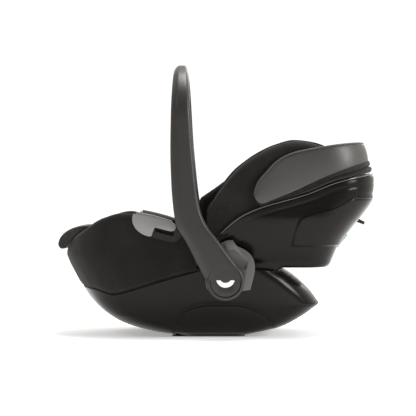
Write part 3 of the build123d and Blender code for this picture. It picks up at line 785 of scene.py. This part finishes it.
def canopyLoop(half, front):
    reach = canopyShape["reach"] - (canopyShape["half"] - half)
    corner = canopyShape["corner"] - (canopyShape["half"] - half)
    loop = headLoop(half, reach, corner, front, (60, 26, 26))
    side = loop[:60]
    bent = [front + (reach - corner - front) * (i / 59) ** 1.7 for i in range(60)]
    start = [(u, y, nx, ny) for u, (x, y, nx, ny) in zip(bent, side)]
    return start + loop[60:-60] + [(u, -y, nx, -ny) for u, y, nx, ny in start[::-1]]


def makeVisor():
    columns = []
    edge = []
    hem = []
    for u, y, nx, ny in canopyLoop(canopyShape["half"], visorStart):
        low = visorLow(u)
        high = visorTop(u)
        column = []
        for v in [0, 0.015, 0.04] + spread(0.08, 0.92, 18) + [0.96, 0.985, 1]:
            crown = 2.4 * (1 - (2 * v - 1) ** 2) - 2.6 * (1 - ease(0, 0.05, min(v, 1 - v)))
            column.append(upright(u + nx * crown, y + ny * crown, low + (high - low) * v))
        for v in spread(1, 0, 10)[1:-1]:
            column.append(upright(u - nx * 5.4, y - ny * 5.4, low + (high - low) * v))
        inset = min(7.0, (high - low) * 0.4)
        edge.append(upright(u - nx * 1.2, y - ny * 1.2, high + 0.3))
        if high - low > 18:
            hem.append(upright(u + nx * 0.9, y + ny * 0.9, high - inset))
        columns.append(column)
    visor = makePiece("canopyVisor", [(columns, True, False)], merge=0.05)
    settle(visor, "visor", finishes["leatherette"], ["canopy_visor"])
    low = [upright(u + nx * 0.4, y + ny * 0.4, visorLow(u) - 0.2)
           for u, y, nx, ny in canopyLoop(canopyShape["half"], visorStart)]
    settle(tube("visorBinding", edge, 1.9), "visor", finishes["leatherette"])
    settle(tube("visorLowerBinding", low, 1.5), "visor", finishes["canopy_fabric"])
    return settle(stitches("visorStitches", hem), "visor", thread)


def makeFold(name, nodeName, low, high):
    # one gathered panel of canopy cloth; low and high are shares of the gap from rim to visor
    columns = []
    for u, y, nx, ny in canopyLoop(canopyShape["half"] - 2.5, 24.0):
        foot = rimLine(u) + 0.5
        head = visorLow(u) + 4.0
        room = ease(0, 90, u - 24)
        column = []
        for v in spread(low, high, 25):
            pleat = abs(math.sin(2 * math.pi * v)) ** 0.6 * 6.5 * room
            pleat += 0.8 * room * math.sin(u / 23 + v * 9) * abs(math.sin(2 * math.pi * v))
            column.append(upright(u + nx * pleat, y + ny * pleat, foot + (head - foot) * v))
        columns.append(column)
    cloth = makePiece(name, [(columns, False, False)], merge=0.02)
    thicken(cloth, 0.9)
    cloth.data.materials.append(finishes["canopy_fabric"])
    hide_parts(nodeName)
    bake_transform(cloth)
    return cloth


makeVisor()
makeFold("canopyClothLower", "canopy_fold_lower", 0.0, 0.5)
makeFold("canopyClothUpper", "canopy_fold_upper", 0.5, 1.0)
print("stage: canopy")


# the carry handle
handleShape = {
    "front": [(125, -24.5), (150, -38), (205, -66), (244, -88), (280, -94), (330, -98), (400, -100),
              (472, -99), (556, -95), (584, -90)],
    "rear": [(125, 55.5), (150, 46), (172, 30), (209, 2), (240, -22), (272, -36), (310, -43),
             (375, -50), (431, -55), (500, -59), (552, -62), (584, -66)],
    "outer": 222.0, "inner": 200.0, "top": 584.0, "bar": 20.0, "shoulder": 118.0,
}
handleFront = profile(handleShape["front"])
handleRear = profile(handleShape["rear"])


def archLoop():  # centre line of the arch in Y and Z, with its outward way and its thickness
    half = (handleShape["outer"] + handleShape["inner"]) / 2
    depth = handleShape["outer"] - handleShape["inner"]
    turn = handleShape["shoulder"] - depth / 2
    top = handleShape["top"] - handleShape["bar"] / 2
    line = [(-half, z, -1.0, 0.0, depth) for z in spread(128, top - turn, 60)]
    for a in spread(0, math.pi / 2, 24)[1:]:
        thick = depth + (handleShape["bar"] - depth) * a / (math.pi / 2)
        line.append((turn - half - turn * math.cos(a), top - turn + turn * math.sin(a),
                     -math.cos(a), math.sin(a), thick))
    for y in spread(turn - half, 0, 16)[1:]:
        line.append((y, top, 0.0, 1.0, handleShape["bar"]))
    return line + [(-y, z, -ny, nz, t) for y, z, ny, nz, t in line[-2::-1]]


def makeHandle():
    rows = []
    for y, z, ny, nz, thick in archLoop():
        a = handleFront(z)
        b = handleRear(z)
        wide = b - a
        half = thick / 2
        bevel = min(13.0, wide * 0.3)
        lip = 4.5 + 2.0 * ease(300, 150, z) if z < 300 else 4.5
        section = [(a, -half + 3), (a, half - 9), (a + 0.6, half - 7), (a + bevel - 1, half - 0.5),
                   (a + bevel + 1, half), (b - lip - 2, half), (b - lip, half - 0.5),
                   (b - 1.0, half - 5), (b, half - 7), (b, -half + 3), (b - 1.2, -half + 0.8),
                   (b - 4, -half), (a + 4, -half), (a + 1.2, -half + 0.8)]
        rows.append([(x, y + ny * n, z + nz * n) for x, n in section])
    bar = makePiece("handleBar", [(rows, True, False)])
    subdivide(bar, 1)
    parts = [bar]
    for sign in (-1, 1):
        rings = []
        for radius, depth in ((40, 200), (40, 216), (39.4, 218.5), (37.6, 221.2), (36, 222),
                              (34.2, 222), (33.2, 221.2), (32.8, 219), (32.6, 208.2)):
            rings.append([(hubX + radius * math.cos(t), sign * depth, hubZ + radius * math.sin(t))
                          for t in spread(0, 2 * math.pi, 97)[:-1]])
        back = [[(hubX + r * math.cos(t), sign * 200.0, hubZ + r * math.sin(t))
                 for t in spread(0, 2 * math.pi, 97)[:-1]] for r in (8.1, 24, 40)]
        floor = [[(hubX + r * math.cos(t), sign * 208.2, hubZ + r * math.sin(t))
                  for t in spread(0, 2 * math.pi, 97)[:-1]] for r in (32.6, 20, 8.1)]
        parts.append(makePiece("hubEnd", [(back + rings[1:] + floor, True, False)]))
    handle = joined("handle", parts)
    return settle(handle, "handle", finishes["handle_plastic"], ["handle"])


makeHandle()
print("stage: handle")


# cushions: the CAD pad remeshed, swollen as cloth under pressure, then sewn

cushions = {
    "seatCushion": {"cad": "seat_pad", "body": "base", "voxel": 5.0, "shrink": 2.5, "cap": 5.0,
                    "fill": 0.6, "seams": "seat", "finish": "cover_fabric"},
    "seatFoam": {"cad": "seat_foam", "body": "base", "voxel": 8.0, "shrink": 8.0, "cap": 3.0,
                 "fill": 1.0, "seams": "", "finish": "foam"},
    "footBolster": {"cad": "foot_bolster", "body": "base", "voxel": 3.0, "shrink": 1.0, "cap": 2.5,
                    "fill": 0.7, "seams": "roll", "finish": "cover_fabric"},
    "backCushion": {"cad": "back_pad", "body": "backrest", "voxel": 5.0, "shrink": 3.0, "cap": 3.5,
                    "fill": 0.6, "seams": "back", "finish": "cover_fabric"},
    "backFoam": {"cad": "back_foam", "body": "backrest", "voxel": 8.0, "shrink": 6.0, "cap": 3.0,
                 "fill": 1.0, "seams": "", "finish": "foam"},
    "sideBolsters": {"cad": "side_bolsters", "body": "backrest", "voxel": 3.5, "shrink": 1.0,
                     "cap": 2.5, "fill": 0.6, "seams": "", "finish": "cover_fabric"},
    "headCushion": {"cad": "headrest_pad", "body": "headrest", "voxel": 4.0, "shrink": 2.0,
                    "cap": 3.5, "fill": 0.6, "seams": "head", "finish": "cover_fabric"},
    "shoulderPads": {"cad": "shoulder_pads", "body": "backrest", "voxel": 3.0, "shrink": 1.0,
                     "cap": 2.0, "fill": 0.5, "seams": "pads", "finish": "cover_fabric"},
}
backSlope = math.radians(27.5)


def alongBack(x, z):  # how far up the back cushion a place is
    return (x - 60) * math.cos(backSlope) + (z - 165) * math.sin(backSlope)


def seamGap(kind, x, y, z):  # distance in mm to the nearest sewn line
    if kind == "seat":
        across = min(abs(x - c) for c in (-245, -195, -145))
        return min(across, abs(abs(y) - 78 - (x + 200) * 0.12))
    if kind == "roll":
        return min(abs(abs(y) - 80), abs(y))
    s = alongBack(x, z)
    if kind == "back":
        across = min(abs(s - c) for c in (-6, 46, 232))
        return min(across, abs(abs(y) - 82))
    if kind == "head":
        return min(abs(abs(y) - 97), abs(s - 129) if abs(y) < 97 else 99)
    return min(abs(s - 20), abs(abs(y) - 52 - 16), abs(abs(y) - 52 + 16))


def swell(piece, cap):
    scene = bpy.context.scene
    cloth = piece.modifiers.new("cloth", "CLOTH")
    cloth.settings.quality = 4
    cloth.settings.use_pressure = True
    cloth.settings.uniform_pressure_force = 4.0
    cloth.settings.effector_weights.gravity = 0.0
    cloth.collision_settings.use_collision = False
    cloth.point_cache.frame_start = 1
    cloth.point_cache.frame_end = 20
    for count in range(1, 21):
        scene.frame_set(count)
    graph = bpy.context.evaluated_depsgraph_get()
    swollen = bpy.data.meshes.new_from_object(piece.evaluated_get(graph))
    piece.modifiers.clear()
    for v, w in zip(piece.data.vertices, swollen.vertices):
        step = w.co - v.co
        if step.length > cap * mm:
            step *= cap * mm / step.length
        v.co += step
    scene.frame_set(1)
    bpy.data.meshes.remove(swollen)


def makeCushion(name, values):
    bm = bmesh.new()
    bm.from_mesh(nodes[values["cad"]].data)
    piece = fromBmesh(name, bm)
    remesh = piece.modifiers.new("remesh", "REMESH")
    remesh.mode = "VOXEL"
    remesh.voxel_size = values["voxel"] * mm
    relax = piece.modifiers.new("relax", "SMOOTH")
    relax.factor = 0.6
    relax.iterations = 5
    bake(piece)
    starts = [v.co - v.normal * values["shrink"] * mm for v in piece.data.vertices]
    for v, start in zip(piece.data.vertices, starts):
        v.co = start
    swell(piece, values["cap"])
    subdivide(piece, 1)
    if values["seams"]:
        sewn = []
        for v in piece.data.vertices:
            gap = seamGap(values["seams"], *(v.co / mm))
            sewn.append(v.normal * mm * (1.9 * math.exp(-(gap / 2.6) ** 2)))
        for v, step in zip(piece.data.vertices, sewn):
            v.co -= step
    wrinkle(piece, 0.5, 22)
    piece.data.shade_smooth()
    cloth = rollFabric if values["seams"] == "roll" else finishes[values["finish"]]
    settle(piece, values["body"], cloth, [values["cad"]])
    return piece


for pieceName, values in cushions.items():
    makeCushion(pieceName, values)
print("stage: cushions")


# harness webbing

straps = {
    "shoulderStrap": {"cad": "shoulder_straps", "width": (18, 38), "across": (0, 1, 0),
                      "path": [(-39, 12, 129.6), (-20, 18, 132.8), (10, 33, 141.8), (34, 44, 153.8),
                               (60, 51, 168.2), (98, 52, 187.9), (133, 52, 206.2)]},
    "lapStrap": {"cad": "lap_straps", "width": (20, 20), "across": (1, 0, 0),
                 "path": [(-40, 27, 130.9), (-40, 80, 132.3), (-40, 128, 132), (-40, 140, 129),
                          (-40, 143.5, 120), (-40, 144, 97)]},
    "crotchStrap": {"cad": "crotch_strap", "width": (38, 38), "across": (0, 1, 0),
                    "path": [(-114.4, 0, 104), (-114.4, 0, 122), (-112, 0, 129), (-105, 0, 132.3),
                             (-94.5, 0, 132.5)]},
}


def smoothLine(points, each=9):
    knots = [Vector(p) for p in points]
    line = []
    for i in range(len(knots) - 1):
        a = knots[max(i - 1, 0)]
        b = knots[i]
        c = knots[i + 1]
        d = knots[min(i + 2, len(knots) - 1)]
        for t in spread(0, 1, each + 1)[:-1]:
            line.append(0.5 * (2 * b + (c - a) * t + (2 * a - 5 * b + 4 * c - d) * t * t
                               + (3 * b - a - 3 * c + d) * t ** 3))
    return line + [knots[-1]]


def makeRibbon(name, values, sign):
    line = [Vector((p.x, p.y * sign, p.z)) for p in smoothLine(values["path"])]
    widths = spread(*values["width"], len(line))
    rows = []
    for i, place in enumerate(line):
        ahead = (line[min(i + 1, len(line) - 1)] - line[max(i - 1, 0)]).normalized()
        across = Vector(values["across"])
        across = (across - ahead * across.dot(ahead)).normalized()
        up = across.cross(ahead).normalized()
        section = [(-0.5, 0.0), (-0.485, 0.7), (-0.44, 0.9), (-0.25, 0.75), (0.0, 0.8), (0.25, 0.75),
                   (0.44, 0.9), (0.485, 0.7), (0.5, 0.0), (0.485, -0.7), (0.0, -0.7), (-0.485, -0.7)]
        rows.append([tuple(place + across * (a * widths[i]) + up * b) for a, b in section])
    ends = [[row, [tuple(sum((Vector(q) for q in row), Vector()) / len(row))] * len(row)]
            for row in (rows[0], rows[-1])]
    grids = [(rows, True, False)] + [(end, True, False) for end in ends]
    return makePiece(name, grids, merge=0.03)


def makeStraps():
    for name, values in straps.items():
        sides = (1,) if name == "crotchStrap" else (-1, 1)
        strap = joined(name, [makeRibbon(name + str(k), values, k) for k in sides])
        strap.data.materials.append(finishes["webbing"])
        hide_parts(values["cad"])
        if name == "shoulderStrap":
            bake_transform(strap)
        else:
            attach(strap, "base")


makeStraps()
print("stage: webbing")


# softened copies of the small moulded parts
smallParts = {
    "hub_bracket_right": 1.2, "hub_bracket_left": 1.2, "belt_guide_right": 1.4, "belt_guide_left": 1.4,
    "shoulder_belt_guide": 1.2, "release_lever": 1.0, "lever_mount": 0.4, "handle_button_right": 0.8,
    "handle_button_left": 0.8, "buckle": 1.6, "buckle_button": 0.8, "buckle_tongues": 0.6,
    "harness_adjuster": 1.6, "headrest_handle": 1.4, "canopy_pin_right": 0.7, "canopy_pin_left": 0.7,
    "canopy_mount_right": 0.6, "canopy_mount_left": 0.6, "headrest_shell": 1.2, "handle_grip": 0.6,
    "pivot_pin_right": 0.5, "pivot_pin_left": 0.5, "runner_pads": 0.5,
}
bodyOf = {n: b for b, names in frame["record"]["behaviour"]["bodies"].items() for n in names}


def soften(nodeName, width):  # the same shape with its mould edges rounded
    words = nodeName.split("_")
    name = words[0] + "".join(w.capitalize() for w in words[1:])
    bm = bmesh.new()
    bm.from_mesh(nodes[nodeName].data)
    bmesh.ops.remove_doubles(bm, verts=bm.verts, dist=0.002 * mm)
    bmesh.ops.dissolve_limit(bm, angle_limit=math.radians(2), verts=bm.verts, edges=bm.edges)
    mesh = bpy.data.meshes.new(name)
    bm.to_mesh(mesh)
    bm.free()
    piece = bpy.data.objects.new(name, mesh)
    bpy.context.scene.collection.objects.link(piece)
    roundEdges(piece, width)
    piece.data.shade_smooth()
    piece.data.set_sharp_from_angle(angle=math.radians(40))
    slot = slotOf[nodeName]
    return settle(piece, bodyOf[nodeName], finishes[slot], [nodeName])


for nodeName, width in smallParts.items():
    soften(nodeName, width)
print("stage: small parts")


# studio
studio = {"distance": 3.6, "elevation": 0.7, "viewWidth": 0.923, "aim": (-0.021, 0.0, 0.276),
          "frontGlow": 0.2, "backGlow": 1.15, "floorGlow": 0.34}


def makeStudio():
    scene = bpy.context.scene
    lens = bpy.data.cameras.new("camera")
    lens.sensor_width = 36.0
    lens.lens = 36.0 * studio["distance"] / studio["viewWidth"]
    camera = bpy.data.objects.new("camera", lens)
    tilt = math.radians(studio["elevation"])
    away = Vector((0, -math.cos(tilt), math.sin(tilt))) * studio["distance"]
    camera.location = Vector(studio["aim"]) + away
    camera.rotation_euler = (math.pi / 2 - tilt, 0, 0)
    scene.collection.objects.link(camera)
    scene.camera = camera

    material, tree, shader = startMaterial("studioFloor")
    shader.inputs["Base Color"].default_value = rgba((0.97, 0.97, 0.97))
    shader.inputs["Roughness"].default_value = 0.9
    shader.inputs["Specular IOR Level"].default_value = 0.0
    shader.inputs["Emission Color"].default_value = rgba((1.0, 1.0, 1.0))
    shader.inputs["Emission Strength"].default_value = studio["floorGlow"]
    bm = bmesh.new()
    bmesh.ops.create_grid(bm, x_segments=1, y_segments=1, size=14)
    floor = fromBmesh("studioFloor", bm)
    floor.data.materials.append(material)

    lamps = {
        "keyLamp": {"place": (-1.8, -2.4, 2.4), "size": 0.9, "power": 10},
        "topLamp": {"place": (0.3, 0.1, 2.6), "size": 1.2, "power": 62},
        "sideLamp": {"place": (2.3, -1.2, 1.1), "size": 0.8, "power": 44},
        "backLamp": {"place": (0.9, 2.2, 1.4), "size": 1.2, "power": 14},
    }
    for name, values in lamps.items():
        light = bpy.data.lights.new(name, "AREA")
        light.size = values["size"]
        light.energy = values["power"]
        lamp = bpy.data.objects.new(name, light)
        lamp.location = values["place"]
        lamp.rotation_euler = (Vector((0, 0, 0.25)) - lamp.location).to_track_quat("-Z", "Y").to_euler()
        scene.collection.objects.link(lamp)

    world = bpy.data.worlds.new("studioWorld")
    world.use_nodes = True
    world.node_tree.nodes["Background"].inputs["Color"].default_value = rgba((1.0, 0.965, 0.925))
    tree = world.node_tree
    sky = addNode(tree, "ShaderNodeTexCoord")
    way = addNode(tree, "ShaderNodeSeparateXYZ", {"Vector": sky.outputs["Generated"]})
    glow = addNode(tree, "ShaderNodeMapRange",
                   {"Value": way.outputs["Y"], "From Min": -0.5, "From Max": 0.2,
                    "To Min": studio["frontGlow"], "To Max": studio["backGlow"]})
    tree.links.new(glow.outputs["Result"], tree.nodes["Background"].inputs["Strength"])
    scene.world = world
    scene.view_settings.view_transform = "Standard"


makeStudio()
print("stage: studio")
